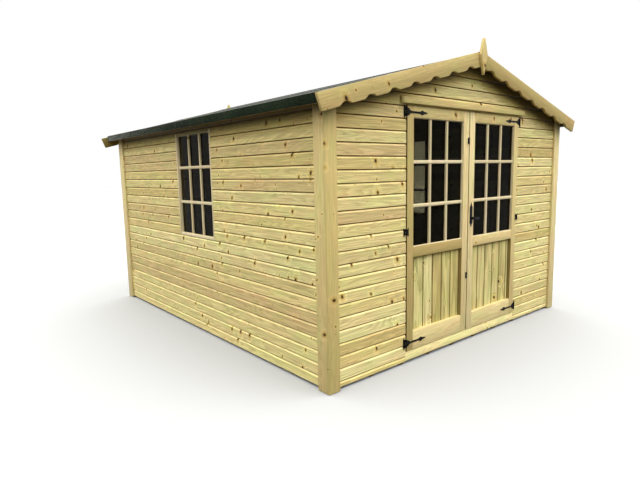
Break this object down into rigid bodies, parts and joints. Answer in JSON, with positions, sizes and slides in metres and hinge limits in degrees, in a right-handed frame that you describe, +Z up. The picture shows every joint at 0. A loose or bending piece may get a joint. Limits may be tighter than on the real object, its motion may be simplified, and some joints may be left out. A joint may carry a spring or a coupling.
{
  "type": "summerhouse",
  "caption": "Timber garden summerhouse with shiplap walls, felted pitched roof, fretted bargeboards, side windows and half-glazed double doors.",
  "frame": {"origin": "on the ground, in the middle of the plan", "axes": "+X to the right along the front, +Y from the doors to the back, +Z up"},
  "size_m": [3.3732, 3.87, 2.407],
  "materials": {
    "pine_cladding": "planed, pressure treated",
    "pine_trim": "planed, pressure treated",
    "pine_boards": "planed, pressure treated",
    "pine_framing": "sawn",
    "green_felt": "mineral-faced roofing felt, matt",
    "glass": "clear",
    "black_iron": "black satin"
  },
  "bodies": {
    "house": {"floor_joists": "pine_framing", "floor_boards": "pine_framing", "front_wall_left": "pine_cladding", "front_wall_right": "pine_cladding", "front_gable": "pine_cladding", "left_wall": "pine_cladding", "right_wall": "pine_cladding", "back_wall": "pine_cladding", "end_wall_rails": "pine_framing", "end_wall_studs": "pine_framing", "side_wall_rails": "pine_framing", "side_wall_studs": "pine_framing", "gable_rafters": "pine_framing", "end_corner_boards": "pine_trim", "side_corner_boards": "pine_trim", "roof_boards": "pine_framing", "eaves_boards": "pine_framing", "roof_beams": "pine_framing", "verge_battens": "pine_framing", "bargeboards_left": "pine_trim", "bargeboards_right": "pine_trim", "finials": "pine_trim", "window_jambs": "pine_trim", "window_rails": "pine_trim", "door_sill": "pine_trim", "door_head_board": "pine_trim", "roof_felt": "green_felt", "eaves_felt": "green_felt", "ridge_felt": "green_felt", "window_glass": "glass", "hinge_plates": "black_iron"},
    "door_left": {"door_left_stiles": "pine_trim", "door_left_rails": "pine_trim", "door_left_panel": "pine_boards", "door_left_glass": "glass", "door_left_hinges": "black_iron", "door_left_catches": "black_iron"},
    "door_right": {"door_right_stiles": "pine_trim", "door_right_rails": "pine_trim", "door_right_panel": "pine_boards", "door_right_glass": "glass", "door_right_hinges": "black_iron", "door_right_lock": "black_iron"},
    "lever": {"door_right_lever": "black_iron"}
  },
  "joints": [
    {"name": "door_left_hinge", "type": "hinge", "parent": "house", "child": "door_left", "pos_m": [-0.764, -1.822, 1], "axis": [0, 0, -1], "range_deg": [0, 150]},
    {"name": "door_right_hinge", "type": "hinge", "parent": "house", "child": "door_right", "pos_m": [0.764, -1.822, 1], "axis": [0, 0, 1], "range_deg": [0, 150]},
    {"name": "lever_turn", "type": "hinge", "parent": "door_right", "child": "lever", "pos_m": [0.041, -1.83, 1.03], "axis": [0, 1, 0], "range_deg": [0, 40], "stiffness_Nm_per_rad": 1, "springref_deg": -20.05}
  ]
}
